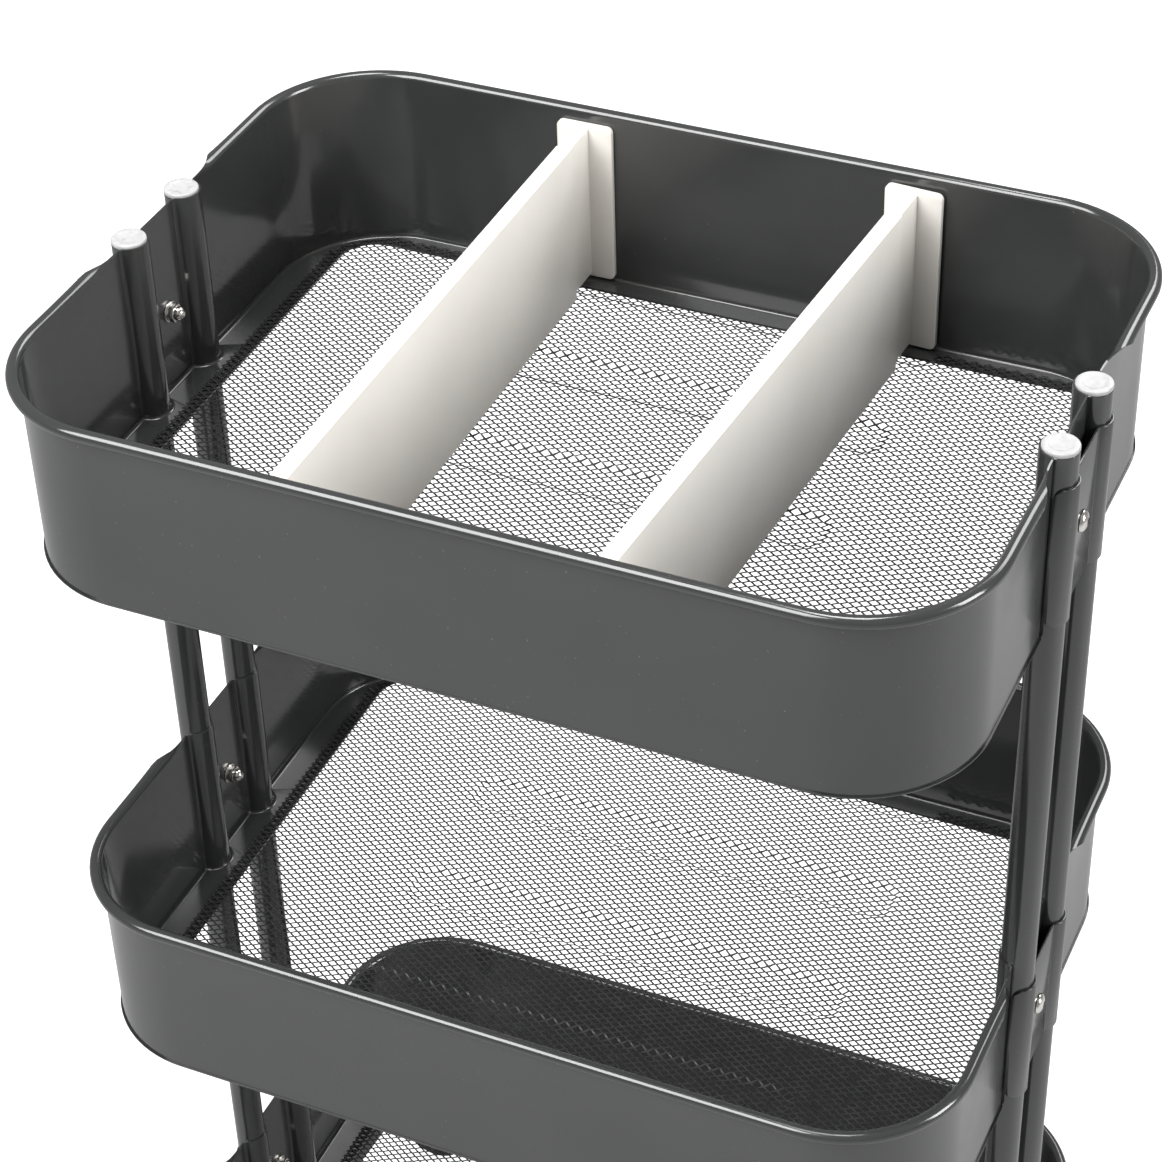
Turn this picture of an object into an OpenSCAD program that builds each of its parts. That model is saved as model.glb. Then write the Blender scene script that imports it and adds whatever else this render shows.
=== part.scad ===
// Three-tier rolling salon trolley with two telescopic tray dividers.
// X runs along the long sides, Y from front (-Y) to back (+Y), Z up.
// The origin is on the floor, under the middle of the trolley. Millimetres.

/* [Overall] */
// Height of the trolley, floor to the top of the post caps
overall_h = 780; // [640:1:950]
// Distance from the top tray's rim down to the middle tray's
upper_pitch = 282; // [200:1:300]
// Distance from the middle tray's rim down to the bottom tray's
lower_pitch = 299; // [200:1:320]

/* [Trays] */
// Outside length of a tray over its rolled rim
tray_l = 438; // [340:1:560]
// Outside width of a tray over its rolled rim
tray_w = 324; // [260:1:400]
// Height of a tray, lower edge to the top of the rim
tray_h = 92; // [70:1:115]
// Corner radius of a tray over its rolled rim, in plan
corner_r = 62; // [40:1:80]
// Thickness of the sheet steel
sheet_t = 0.8; // [0.6:0.1:1.2]
// Radius of the rolled rim
bead_r = 3; // [2:0.1:4]
// How far the hem at a tray's lower edge stands out of the wall
hem_out = 1.8; // [1:0.1:2.5]
// Width of the ledge that carries the mesh, at the short sides
ledge_w = 19; // [16:1:24]
// Width of the ledge at the long sides
ledge_long_w = 11; // [8:1:16]
// Corner radius of the opening inside the ledge
ledge_r = 18; // [14:1:24]
// Thickness of the mesh floor
mesh_t = 1; // [0.6:0.1:1.5]
// Lap of the mesh floor over the flange
mesh_lap = 6; // [4:1:8]
// Corner radius of the mesh
mesh_r = 34; // [30:1:40]
// Length of plain, unrolled edge beside each post
plain_edge = 15; // [8:1:25]
// Diameter of the hanging hole in the flange
flange_hole_d = 3; // [2:0.5:5]

/* [Posts] */
// Outside diameter of the post tubes
post_d = 16; // [12:0.5:20]
// Wall thickness of the post tubes
tube_t = 1.2; // [0.8:0.1:1.6]
// Distance between the two posts of one side, centre to centre
post_pitch = 46.8; // [42:0.2:64]
// Gap between a post and the sheet that grips it
grip_gap = 0.08; // [0.05:0.01:0.1]
// How far a cap's top stands above the tray rim
cap_proud = 1; // [0.5:0.1:4]
// Thickness of a cap's head
cap_h = 2.2; // [1.6:0.1:4]
// Depth of a cap's plug in the tube
cap_plug = 12; // [6:1:20]

/* [Clamp brackets] */
// Height of a clamp bracket
clamp_h = 70; // [55:1:80]
// Distance from the tray rim down to the clamp's top edge
clamp_drop = 16; // [10:1:20]
// Thickness of a clamp bracket
clamp_t = 1.2; // [1:0.1:2]
// Distance of the clamp's flat web from the tray wall
web_stand_off = 4.3; // [3:0.1:5]
// Corner radius of a clamp bracket
clamp_corner = 6; // [3:1:8]

/* [Fasteners] */
// Thread diameter of the clamp bolts
bolt_d = 5; // [4:1:6]
// Diameter of the round bolt heads
bolt_head_d = 10; // [8:0.5:12]
// Width across the flats of the cap nuts
nut_af = 8; // [7:0.5:10]
// Height of the cap nuts' hexagon
nut_h = 4; // [3:0.5:5]
// Distance from the tray rim down to the bolts
bolt_drop = 52; // [40:1:60]
// Radial clearance of the bolt holes
bolt_gap = 0.25; // [0.1:0.05:0.5]

/* [Legs] */
// Distance of a caster from the trolley's middle, front to back
foot_y = 160; // [130:1:190]
// Bend radius of a leg, on the tube's centre line
bend_r = 26; // [24:1:40]
// Angle of the bend
bend_a = 83; // [76:1:86]
// Gap between the lowest tray and the top of the leg
leg_drop = 3; // [2:1:12]
// Height of the collar that joins the leg to its spigot
collar_h = 3; // [2:0.5:6]
// Length of the spigot that enters the post
spigot_h = 32; // [20:1:50]
// Radial clearance of the spigot and plugs in the post
spigot_gap = 0.05; // [0.02:0.01:0.1]
// Outside diameter of a caster socket
socket_d = 21; // [17:0.5:26]
// Height of a caster socket
socket_h = 26; // [20:1:34]

/* [Casters] */
// Diameter of the wheels
wheel_d = 40; // [30:1:50]
// Width of the wheel's hub
wheel_w = 16; // [12:1:22]
// Diameter of the hub, inside the tyre
hub_d = 26; // [18:1:30]
// Trail, kingpin to axle
trail = 16; // [10:1:22]
// Diameter of the axle
axle_d = 6; // [4:0.5:8]
// Thickness of the fork's sheet
fork_t = 2; // [1.5:0.1:3]
// Diameter of the kingpin
kingpin_d = 8; // [6:0.5:9]
// Diameter of the stem in the socket
stem_d = 10; // [8:0.5:12]
// Radial running clearance of the axle and the kingpin
run_gap = 0.05; // [0.02:0.01:0.1]
// Free gap between parts that pass each other
free_gap = 0.8; // [0.5:0.1:1.5]

/* [Dividers] */
// Place of the left divider along the tray
divider_left_x = -71.3; // [-90:0.1:-50]
// Place of the right divider along the tray, at its middle
divider_right_x = 82.3; // [50:0.1:90]
// Turn of the right divider in the tray, in degrees
divider_right_turn = -3.7; // [-5:0.1:5]
// Height of a divider
divider_h = 83; // [60:1:90]
// Thickness of a divider's sleeve
sleeve_w = 8; // [7:0.5:10]
// Wall thickness of the sleeve
sleeve_t = 1.5; // [1.2:0.1:2]
// Width of a divider's end plates
plate_w = 28; // [20:1:36]
// Thickness of the end plates
plate_t = 3; // [2:0.1:4]
// Corner radius of the end plates
plate_r = 3; // [2:0.5:6]
// Length of slider that shows between sleeve and plate
slider_shown = 22; // [16:1:40]
// Length of slider inside the sleeve
slider_in = 110; // [60:1:160]
// Gap around the slider, and between a divider and the tray
divider_gap = 0.3; // [0.3:0.1:0.6]

/* [Hidden] */
$fn = 96;

// Trays: the inside of the wall, its outside, and the three rim heights
in_l = tray_l - 4 * bead_r;
in_w = tray_w - 4 * bead_r;
in_r = corner_r - 2 * bead_r;
out_l = in_l + 2 * sheet_t;
out_w = in_w + 2 * sheet_t;
rim_top = overall_h - cap_proud;
rim_middle = rim_top - upper_pitch;
rim_bottom = rim_middle - lower_pitch;
hem_r = (hem_out + sheet_t) / 2;
ledge_up = sheet_t / 2;
mesh_up = ledge_up + sheet_t;
mesh_l = in_l - 2 * (ledge_w - mesh_lap);
mesh_w = in_w - 2 * (ledge_long_w - mesh_lap);

// Posts: each stands half in a groove of the wall and half in a channel of the clamp
post_r = post_d / 2;
bore_r = post_r - tube_t;
post_x = out_l / 2;
post_y = post_pitch / 2;
grip_r = post_r + grip_gap;
groove_out_r = grip_r + sheet_t;
channel_out_r = grip_r + clamp_t;
bead_stop = post_y + groove_out_r + plain_edge;
leg_top = rim_bottom - tray_h - leg_drop;

// Clamps and fasteners: distances out of the wall, along X
web_out = web_stand_off + clamp_t;
clamp_w = post_pitch + 2 * channel_out_r;
bolt_r = bolt_d / 2;
bolt_hole_r = bolt_r + bolt_gap;
bolt_head_h = bolt_head_d * 0.28;
nut_r = nut_af / sqrt(3);
dome_r = nut_af * 0.44;

// Legs: where the bend ends, and the straight run to the socket
bend_end_y = post_y + bend_r * (1 - cos(bend_a));
bend_z = leg_top - collar_h;
bend_end_z = bend_z - bend_r * sin(bend_a);
run_len = (foot_y - bend_end_y) / sin(bend_a);

// Casters: heights above the floor
wheel_r = wheel_d / 2;
crown_z = wheel_d + 4;
cheek_y = wheel_w / 2 + free_gap;
play = 0.3;
flange_z = crown_z + fork_t + 1 + play;
flange_h = 2.6;
socket_z = flange_z + flange_h;
head_h = 2.4;

// Dividers: how high they stand, and their half length in the tray
divider_z = rim_top - tray_h + mesh_up + mesh_t + divider_gap;
cavity_w = sleeve_w - 2 * sleeve_t;
cavity_h = divider_h - 2 * sleeve_t;
web_w = cavity_w - 2 * divider_gap;
web_h = cavity_h - 2 * divider_gap;

function half_length(turn) =
    (in_w / 2 - divider_gap - plate_w / 2 * abs(sin(turn))) / cos(turn);

// ---------------------------------------------------------------- outlines

// A rectangle with round corners, centred
module round_rect(l, w, r) {
    square([l - 2 * r, w], center = true);
    square([l, w - 2 * r], center = true);
    for (sx = [-1, 1], sy = [-1, 1])
        translate([sx * (l / 2 - r), sy * (w / 2 - r)]) circle(r);
}

// One disc at each of the four posts
module at_posts(r) {
    for (sx = [-1, 1], sy = [-1, 1])
        translate([sx * post_x, sy * post_y]) circle(r);
}

// The wall in plan: a ring, with a half-round groove around each post
module wall_outline() {
    difference() {
        union() {
            difference() {
                round_rect(out_l, out_w, in_r + sheet_t);
                round_rect(in_l, in_w, in_r);
            }
            intersection() {
                at_posts(groove_out_r);
                square([out_l, out_w], center = true);
            }
        }
        at_posts(grip_r);
    }
}

// The flange in plan, cut out around the grooves
module ledge_outline() {
    difference() {
        round_rect(in_l, in_w, in_r);
        round_rect(in_l - 2 * ledge_w, in_w - 2 * ledge_long_w, ledge_r);
        at_posts(grip_r);
        for (sx = [-1, 1])
            translate([sx * (in_l / 2 - flange_hole_d), 0]) circle(d = flange_hole_d);
    }
}

// Section of the rolled rim: out of the wall's inner face is +X, the top is 0
module bead_section() {
    difference() {
        translate([bead_r, -bead_r]) circle(bead_r);
        translate([bead_r, -bead_r]) circle(bead_r - sheet_t);
        translate([sheet_t, -2 * bead_r - 1]) square([bead_r - sheet_t, bead_r + 1]);
        translate([-1, -2 * bead_r - 1]) square([sheet_t + 1, bead_r + 1]);
    }
}

// Section of the hem at the lower edge, on the same axes, with the edge at 0
module hem_section() {
    translate([hem_r, hem_r]) circle(hem_r);
}

// Carries a section all round the tray, or leaves the middle of the short sides out
module around_tray(stop) {
    for (sx = [-1, 1], sy = [-1, 1]) {
        translate([sx * (in_l / 2 - in_r), sy * (in_w / 2 - in_r), 0])
            mirror([sx < 0 ? 1 : 0, 0, 0])
            mirror([0, sy < 0 ? 1 : 0, 0])
            rotate_extrude(angle = 90) translate([in_r, 0]) children();
        if (in_w / 2 - in_r > stop)
            mirror([sx < 0 ? 1 : 0, 0, 0])
            mirror([0, sy < 0 ? 1 : 0, 0])
            translate([in_l / 2, in_w / 2 - in_r, 0])
            rotate([90, 0, 0])
            linear_extrude(in_w / 2 - in_r - stop) children();
    }
    for (sy = [-1, 1])
        mirror([0, sy < 0 ? 1 : 0, 0])
        translate([-(in_l / 2 - in_r), in_w / 2, 0])
        rotate([90, 0, 90])
        linear_extrude(in_l - 2 * in_r) children();
}

// ---------------------------------------------------------------- trays

// One tray, hung from the height of its rim
module tray(rim) {
    color("dimgray")
    difference() {
        union() {
            translate([0, 0, rim - tray_h]) linear_extrude(tray_h - bead_r) wall_outline();
            translate([0, 0, rim - tray_h + ledge_up]) linear_extrude(sheet_t) ledge_outline();
            translate([0, 0, rim]) around_tray(bead_stop) bead_section();
            translate([0, 0, rim - tray_h]) around_tray(bead_stop) hem_section();
        }
        for (side = [-1, 1])
            translate([side * post_x, 0, rim - bolt_drop])
            rotate([0, 90, 0]) cylinder(h = 4 * sheet_t, r = bolt_hole_r, center = true);
    }
}

// The expanded mesh floor as a plain sheet of the same outline
module mesh(rim) {
    color("darkgray")
    translate([0, 0, rim - tray_h + mesh_up]) linear_extrude(mesh_t)
        difference() {
            round_rect(mesh_l, mesh_w, mesh_r);
            at_posts(groove_out_r + divider_gap);
        }
}

// ---------------------------------------------------------------- clamps and fasteners

// The clamp in plan at the right-hand side: two channels joined by a flat web
module clamp_outline() {
    difference() {
        union() {
            for (sy = [-1, 1]) translate([post_x, sy * post_y]) circle(channel_out_r);
            translate([post_x + web_stand_off, -post_y]) square([clamp_t, post_pitch]);
        }
        for (sy = [-1, 1]) translate([post_x, sy * post_y]) circle(grip_r);
        translate([post_x - channel_out_r - 1, -clamp_w / 2 - 1])
            square([channel_out_r + 1 + play, clamp_w + 2]);
        translate([post_x - 1, -post_y]) square([web_stand_off + 1, post_pitch]);
    }
}

// One clamp bracket; side is -1 at the left and 1 at the right
module clamp(side, rim) {
    color("dimgray")
    mirror([side < 0 ? 1 : 0, 0, 0])
    difference() {
        intersection() {
            translate([0, 0, rim - clamp_drop - clamp_h]) linear_extrude(clamp_h) clamp_outline();
            translate([post_x - 1, 0, rim - clamp_drop - clamp_h / 2])
                rotate([90, 0, 90]) linear_extrude(2 * channel_out_r)
                round_rect(clamp_w, clamp_h, clamp_corner);
        }
        translate([post_x + web_stand_off - 1, 0, rim - bolt_drop])
            rotate([0, 90, 0]) cylinder(h = clamp_t + 2, r = bolt_hole_r);
    }
}

// The two bolts of one tray: a round head outside, a shank through clamp and wall
module bolts(rim) {
    color("silver")
    for (side = [-1, 1])
        mirror([side < 0 ? 1 : 0, 0, 0])
        translate([post_x, 0, rim - bolt_drop])
        rotate([0, 90, 0]) {
            translate([0, 0, -sheet_t - nut_h]) cylinder(h = sheet_t + nut_h + web_out, r = bolt_r);
            translate([0, 0, web_out]) intersection() {
                cylinder(h = bolt_head_h, d = bolt_head_d);
                translate([0, 0, bolt_head_h - bolt_head_d * 0.6]) sphere(bolt_head_d * 0.6);
            }
        }
}

// The two cap nuts of one tray, against the inside of the wall
module cap_nuts(rim) {
    color("silver")
    for (side = [-1, 1])
        mirror([side < 0 ? 1 : 0, 0, 0])
        translate([post_x - sheet_t, 0, rim - bolt_drop])
        rotate([0, -90, 0])
        difference() {
            union() {
                cylinder(h = nut_h, r = nut_r, $fn = 6);
                translate([0, 0, nut_h]) intersection() {
                    sphere(dome_r);
                    cylinder(h = dome_r, r = dome_r);
                }
            }
            translate([0, 0, -1]) cylinder(h = nut_h + 1, r = bolt_r);
        }
}

// ---------------------------------------------------------------- posts

// One straight post tube
module post(sx, sy) {
    color("dimgray")
    translate([sx * post_x, sy * post_y, leg_top])
    difference() {
        cylinder(h = overall_h - cap_h - leg_top, r = post_r);
        translate([0, 0, -1]) cylinder(h = overall_h, r = bore_r);
    }
}

// The cap in a post's open end, with a shallow dish inside a raised ring
module post_cap(sx, sy) {
    edge = cap_h * 0.4;
    dish = cap_h * 0.2;
    color("lightgray")
    translate([sx * post_x, sy * post_y, overall_h - cap_h])
    rotate_extrude()
    difference() {
        union() {
            translate([0, -cap_plug]) square([bore_r - spigot_gap, cap_plug]);
            square([post_r - edge, cap_h]);
            square([post_r, cap_h - edge]);
            translate([post_r - edge, cap_h - edge]) circle(edge);
        }
        translate([0, cap_h - dish]) square([post_r * 0.62, dish + 1]);
    }
}

// ---------------------------------------------------------------- legs

// The bent part of a leg as a round bar of radius r, for the rear
module leg_bar(r, run) {
    translate([0, post_y + bend_r, bend_z])
        rotate([-90, 0, 0]) rotate([0, 90, 0])
        rotate_extrude(angle = bend_a) translate([bend_r, 0]) circle(r);
    translate([0, bend_end_y, bend_end_z])
        rotate([bend_a - 180, 0, 0]) cylinder(h = run, r = r);
}

// One leg: spigot, bent tube and the upright socket for the caster
module leg(sx, sy) {
    color("dimgray")
    translate([sx * post_x, 0, 0])
    mirror([0, sy < 0 ? 1 : 0, 0])
    difference() {
        union() {
            leg_bar(post_r, run_len);
            translate([0, post_y, bend_z]) cylinder(h = collar_h, r = post_r);
            translate([0, post_y, bend_z]) cylinder(h = collar_h + spigot_h, r = bore_r - spigot_gap);
            translate([0, foot_y, socket_z]) cylinder(h = socket_h, d = socket_d);
        }
        leg_bar(bore_r, run_len - stem_d / 2 - 2);
        translate([0, post_y, bend_z - 1]) cylinder(h = collar_h + spigot_h + 2, r = bore_r - spigot_gap - tube_t);
        translate([0, foot_y, socket_z - 1]) cylinder(h = socket_h, d = stem_d);
    }
}

// ---------------------------------------------------------------- casters

// Puts a caster's parts under their socket, trailing towards the trolley's middle
module at_foot(sx, sy) {
    translate([sx * post_x, sy * foot_y, 0]) mirror([sx < 0 ? 1 : 0, 0, 0]) children();
}

// The fixed stem, its flange and the kingpin that holds the fork
module caster_stem(sx, sy) {
    color("silver")
    at_foot(sx, sy) {
        translate([0, 0, crown_z - play - head_h]) cylinder(h = head_h, r = kingpin_d * 0.7);
        translate([0, 0, crown_z - play]) cylinder(h = flange_z - crown_z + play, d = kingpin_d);
        translate([0, 0, flange_z]) cylinder(h = flange_h, d = socket_d);
        translate([0, 0, socket_z]) cylinder(h = socket_h - 2, d = stem_d);
    }
}

// The swivel fork: a crown over the wheel and a cheek at each side of it
module caster_fork(sx, sy) {
    crown_t = fork_t + 1;
    half_w = cheek_y + fork_t;
    color("silver")
    at_foot(sx, sy)
    difference() {
        union() {
            translate([0, 0, crown_z]) linear_extrude(crown_t) intersection() {
                translate([-trail * 0.2, 0]) circle(kingpin_d / 2 + 10);
                square([40, 2 * half_w], center = true);
            }
            for (side = [-1, 1])
                translate([0, side * (cheek_y + fork_t / 2) + fork_t / 2, 0])
                rotate([90, 0, 0]) linear_extrude(fork_t) {
                    translate([-trail, wheel_r]) circle(axle_d);
                    polygon([[-trail - axle_d, wheel_r], [-trail + axle_d, wheel_r],
                        [kingpin_d, crown_z], [kingpin_d, crown_z + crown_t],
                        [-trail, crown_z + crown_t], [-trail, crown_z]]);
                }
        }
        translate([0, 0, crown_z - 1]) cylinder(h = crown_t + 2, r = kingpin_d / 2 + run_gap);
        translate([-trail, 0, wheel_r]) rotate([90, 0, 0])
            cylinder(h = 4 * half_w, d = axle_d, center = true);
    }
}

// The axle, riveted over outside the cheeks
module caster_axle(sx, sy) {
    half_w = cheek_y + fork_t;
    color("silver")
    at_foot(sx, sy)
    translate([-trail, 0, wheel_r])
    rotate([90, 0, 0]) {
        cylinder(h = 2 * half_w, d = axle_d, center = true);
        for (side = [-1, 1])
            translate([0, 0, side * (half_w + 0.6)]) cylinder(h = 1.2, r = axle_d * 0.75, center = true);
    }
}

// The hub, with a web between its rim and its boss
module wheel_hub(sx, sy) {
    recess = wheel_w * 0.3;
    color("gray")
    at_foot(sx, sy)
    translate([-trail, 0, wheel_r])
    rotate([90, 0, 0])
    difference() {
        cylinder(h = wheel_w, d = hub_d, center = true);
        cylinder(h = wheel_w + 2, r = axle_d / 2 + run_gap, center = true);
        for (side = [-1, 1])
            translate([0, 0, side * (wheel_w / 2 - recess / 2 + 0.5)])
            difference() {
                cylinder(h = recess + 1, r = hub_d / 2 - 2, center = true);
                cylinder(h = recess + 2, r = axle_d / 2 + 2.5, center = true);
            }
    }
}

// The tyre around the hub, round at both shoulders
module wheel_tyre(sx, sy) {
    shoulder = 2;
    tyre_w = wheel_w - 1;
    color("dimgray")
    at_foot(sx, sy)
    translate([-trail, 0, wheel_r])
    rotate([90, 0, 0])
    rotate_extrude() {
        translate([hub_d / 2, -tyre_w / 2]) square([wheel_r - hub_d / 2 - shoulder, tyre_w]);
        translate([hub_d / 2, -tyre_w / 2 + shoulder])
            square([wheel_r - hub_d / 2, tyre_w - 2 * shoulder]);
        for (side = [-1, 1])
            translate([wheel_r - shoulder, side * (tyre_w / 2 - shoulder)]) circle(shoulder);
    }
}

// ---------------------------------------------------------------- dividers

// An end plate, standing on its lower edge, its back at y
module end_plate(y) {
    translate([0, y, divider_h / 2]) rotate([90, 0, 0])
        linear_extrude(plate_t, center = true) round_rect(plate_w, divider_h, plate_r);
}

// The hollow sleeve with the front end plate
module divider_sleeve(x, turn) {
    half = half_length(turn);
    sleeve_end = half - plate_t - slider_shown;
    color("ivory")
    translate([x, 0, divider_z]) rotate([0, 0, turn]) {
        end_plate(-half + plate_t / 2);
        difference() {
            translate([-sleeve_w / 2, -half + plate_t / 2, 0])
                cube([sleeve_w, sleeve_end + half - plate_t / 2, divider_h]);
            translate([-cavity_w / 2, -half + 2 * plate_t, sleeve_t])
                cube([cavity_w, sleeve_end + half, cavity_h]);
        }
    }
}

// The slider: a web that runs in the sleeve, with the rear end plate
module divider_slider(x, turn) {
    half = half_length(turn);
    web_start = half - plate_t - slider_shown - slider_in;
    color("ivory")
    translate([x, 0, divider_z]) rotate([0, 0, turn]) {
        end_plate(half - plate_t / 2);
        translate([-web_w / 2, web_start, sleeve_t + divider_gap])
            cube([web_w, half - plate_t / 2 - web_start, web_h]);
    }
}

// ---------------------------------------------------------------- nodes

post(-1, -1);  // post_front_left
post(-1, 1);  // post_rear_left
post(1, -1);  // post_front_right
post(1, 1);  // post_rear_right
post_cap(-1, -1);  // post_cap_front_left
post_cap(-1, 1);  // post_cap_rear_left
post_cap(1, -1);  // post_cap_front_right
post_cap(1, 1);  // post_cap_rear_right
leg(-1, -1);  // leg_front_left
leg(-1, 1);  // leg_rear_left
leg(1, -1);  // leg_front_right
leg(1, 1);  // leg_rear_right
tray(rim_top);  // tray_top
tray(rim_middle);  // tray_middle
tray(rim_bottom);  // tray_bottom
mesh(rim_top);  // mesh_top
mesh(rim_middle);  // mesh_middle
mesh(rim_bottom);  // mesh_bottom
clamp(-1, rim_top);  // clamp_top_left
clamp(1, rim_top);  // clamp_top_right
clamp(-1, rim_middle);  // clamp_middle_left
clamp(1, rim_middle);  // clamp_middle_right
clamp(-1, rim_bottom);  // clamp_bottom_left
clamp(1, rim_bottom);  // clamp_bottom_right
bolts(rim_top);  // bolts_top
bolts(rim_middle);  // bolts_middle
bolts(rim_bottom);  // bolts_bottom
cap_nuts(rim_top);  // cap_nuts_top
cap_nuts(rim_middle);  // cap_nuts_middle
cap_nuts(rim_bottom);  // cap_nuts_bottom
caster_stem(-1, -1);  // caster_stem_front_left
caster_stem(-1, 1);  // caster_stem_rear_left
caster_stem(1, -1);  // caster_stem_front_right
caster_stem(1, 1);  // caster_stem_rear_right
caster_fork(-1, -1);  // caster_fork_front_left
caster_fork(-1, 1);  // caster_fork_rear_left
caster_fork(1, -1);  // caster_fork_front_right
caster_fork(1, 1);  // caster_fork_rear_right
caster_axle(-1, -1);  // caster_axle_front_left
caster_axle(-1, 1);  // caster_axle_rear_left
caster_axle(1, -1);  // caster_axle_front_right
caster_axle(1, 1);  // caster_axle_rear_right
wheel_hub(-1, -1);  // wheel_hub_front_left
wheel_hub(-1, 1);  // wheel_hub_rear_left
wheel_hub(1, -1);  // wheel_hub_front_right
wheel_hub(1, 1);  // wheel_hub_rear_right
wheel_tyre(-1, -1);  // wheel_tyre_front_left
wheel_tyre(-1, 1);  // wheel_tyre_rear_left
wheel_tyre(1, -1);  // wheel_tyre_front_right
wheel_tyre(1, 1);  // wheel_tyre_rear_right
divider_sleeve(divider_left_x, 0);  // divider_sleeve_left
divider_slider(divider_left_x, 0);  // divider_slider_left
divider_sleeve(divider_right_x, divider_right_turn);  // divider_sleeve_right
divider_slider(divider_right_x, divider_right_turn);  // divider_slider_right
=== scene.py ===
import math

import bmesh
import bpy
from mathutils import Matrix, Vector


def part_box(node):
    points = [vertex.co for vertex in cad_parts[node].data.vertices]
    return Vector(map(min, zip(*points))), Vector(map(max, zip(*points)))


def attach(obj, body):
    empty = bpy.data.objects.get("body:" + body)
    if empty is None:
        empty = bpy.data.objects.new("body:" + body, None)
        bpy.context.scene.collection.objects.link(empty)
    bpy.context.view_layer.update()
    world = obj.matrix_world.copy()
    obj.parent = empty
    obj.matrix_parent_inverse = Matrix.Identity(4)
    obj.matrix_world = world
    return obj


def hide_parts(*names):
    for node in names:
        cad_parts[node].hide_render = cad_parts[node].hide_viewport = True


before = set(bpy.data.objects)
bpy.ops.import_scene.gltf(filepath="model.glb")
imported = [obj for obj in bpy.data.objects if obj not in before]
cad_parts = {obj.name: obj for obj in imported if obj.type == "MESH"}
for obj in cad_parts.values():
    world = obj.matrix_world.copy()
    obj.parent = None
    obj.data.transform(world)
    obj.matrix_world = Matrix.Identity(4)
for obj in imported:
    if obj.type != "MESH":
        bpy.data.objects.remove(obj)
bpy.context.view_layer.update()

# Looks of a three-tier rolling salon trolley with two telescopic tray dividers.
# Everything is in metres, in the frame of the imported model: X along the trays' long
# sides, Y from front to back, Z up, and the origin on the floor under the middle.

MM = 0.001
TIERS = ("top", "middle", "bottom")
TIER_BODY = {"top": "frame", "middle": "middle_tray", "bottom": "frame"}
SIDES = {"left": -1, "right": 1}
CORNERS = {
    "front_left": (-1, -1),
    "rear_left": (-1, 1),
    "front_right": (1, -1),
    "rear_right": (1, 1),
}


# ---------------------------------------------------------------- sizes

def middle(node):
    """Centre of a CAD node's box."""
    low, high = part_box(node)
    return (low + high) / 2


def extent(node):
    """Size of a CAD node's box along X, Y and Z."""
    low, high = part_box(node)
    return high - low


# Trays, from the outside of the rolled rim inwards
SHEET = 0.8 * MM
BEAD_R = 3 * MM
HEM_R = 0.5 * MM
TRAY_SIZE = extent("tray_top")
TRAY_H = TRAY_SIZE.z
RIM = {tier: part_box("tray_" + tier)[1].z for tier in TIERS}
WALL_X = TRAY_SIZE.x / 2 - 2 * BEAD_R + SHEET / 2
WALL_Y = TRAY_SIZE.y / 2 - 2 * BEAD_R + SHEET / 2
CORNER_R = 56 * MM + SHEET / 2
BEAD_TURN = math.radians(300)
HEM_TURN = math.radians(200)
PLAIN_LIP = 1.5 * MM
ROLL_ENDS = 34 * MM
ROLL_FULL = 84 * MM
OPENING_CORNER = 18 * MM
FLANGE_UP = 0.8 * MM
FLANGE_BEND = 1.6 * MM

# Posts, and the grooves and channels that hold them
POST = middle("post_rear_right")
POST_R = extent("post_rear_right").x / 2
TUBE_WALL = 1.2 * MM
GRIP_GAP = 0.08 * MM
GROOVE_R = POST_R + GRIP_GAP + SHEET / 2
GROOVE_BEND = 2.2 * MM
CLAMP_SHEET = 1.2 * MM
CHANNEL_R = POST_R + GRIP_GAP + CLAMP_SHEET / 2
CHANNEL_BEND = 1.6 * MM
CHANNEL_SPREAD = math.radians(88)
CLAMP_CORNER = 6 * MM
CLAMP_WEB = POST.x + 4.9 * MM

# Expanded mesh
DIAMOND_X = 6.67 * MM
DIAMOND_Y = 3.76 * MM
STRAND = 0.25
STRAND_SHEET = 0.32 * MM
STRAND_TILT = -0.32 * MM
MESH_LAP = 6 * MM
MESH_CORNER = 34 * MM
RIB_PITCH = 75 * MM
RIB_HALF_X = 116 * MM
RIB_HALF_Y = 12.5 * MM
RIB_CORNER = 8 * MM
RIB_DEPTH = 1.6 * MM
RIB_SLOPE = 1.8 * MM
RIB_SHIFT = {"top": -8 * MM, "middle": 7 * MM, "bottom": 0.0}

# Legs and casters
COLLAR_H = 3 * MM
BEND_R = 26 * MM
BEND_TURN = math.radians(83)
WHEEL_R = extent("wheel_tyre_rear_right").z / 2

# Dividers
DIVIDER_TURN = {"left": 0.0, "right": math.radians(-3.7)}
DIVIDER_H = extent("divider_sleeve_left").z
PLATE_W = extent("divider_sleeve_left").x
PLATE_T = 3 * MM
PLATE_CORNER = 3 * MM
SLEEVE_W = 8 * MM
SLEEVE_WALL = 1.5 * MM
SLIDER_SHOWN = 22 * MM
SLIDER_IN = 110 * MM
SLIDE_GAP = 0.3 * MM


# ---------------------------------------------------------------- drawing with bmesh

def line_to(bm, start, end):
    """One straight edge from a vertex to a place; returns the new vertex."""
    new = bmesh.ops.extrude_vert_indiv(bm, verts=[start])["verts"][0]
    new.co = end
    return new


def lines_to(bm, start, end, steps):
    """A straight run of several edges."""
    first, last, vert = start.co.copy(), Vector(end), start
    for step in range(1, steps + 1):
        vert = line_to(bm, vert, first.lerp(last, step / steps))
    return vert


def arc_to(bm, start, centre, turn, steps, axis=(0, 0, 1)):
    """A vertex turned round a centre, leaving the arc's edges; returns the last vertex."""
    spun = bmesh.ops.spin(bm, geom=[start], cent=centre, axis=axis, angle=turn, steps=steps)
    return next(g for g in spun["geom_last"] if isinstance(g, bmesh.types.BMVert))


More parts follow.
